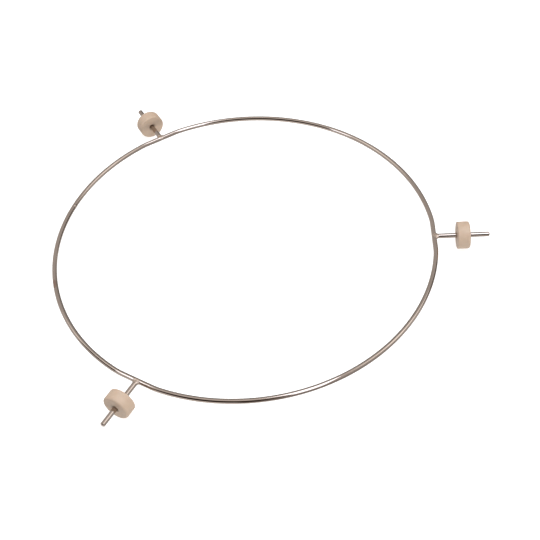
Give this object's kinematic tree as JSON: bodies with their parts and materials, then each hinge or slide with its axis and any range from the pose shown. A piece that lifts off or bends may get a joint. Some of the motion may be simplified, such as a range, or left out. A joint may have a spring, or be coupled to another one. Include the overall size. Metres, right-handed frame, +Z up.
{
  "type": "microwave turntable support",
  "caption": "Wire ring with outward axle pins that carry free-turning plastic rollers; it rolls on a microwave oven's floor and carries the glass turntable.",
  "frame": {"origin": "centre of the ring at axle height, which is the centre of mass", "axes": "+Z up, normal to the ring; +X outward along the first axle pin"},
  "size_m": [0.2265, 0.22, 0.014],
  "materials": {
    "plated_wire": "bright nickel-chrome plating on drawn steel wire, duller at the welds",
    "roller_plastic": "natural ivory moulded plastic, fine matt surface"
  },
  "bodies": {
    "frame": {"support_ring": "plated_wire", "axle_pin_1": "plated_wire", "axle_pin_2": "plated_wire", "axle_pin_3": "plated_wire"},
    "roller_1": {"roller_1": "roller_plastic"},
    "roller_2": {"roller_2": "roller_plastic"},
    "roller_3": {"roller_3": "roller_plastic"}
  },
  "joints": [
    {"name": "roller_1_spin", "type": "hinge", "parent": "frame", "child": "roller_1", "pos_m": [0.113, 0, 0], "axis": [1, 0, 0], "continuous": true},
    {"name": "roller_2_spin", "type": "hinge", "parent": "frame", "child": "roller_2", "pos_m": [-0.0565, 0.09786, 0], "axis": [-0.5, 0.866, 0], "continuous": true},
    {"name": "roller_3_spin", "type": "hinge", "parent": "frame", "child": "roller_3", "pos_m": [-0.0565, -0.09786, 0], "axis": [-0.5, -0.866, 0], "continuous": true}
  ]
}
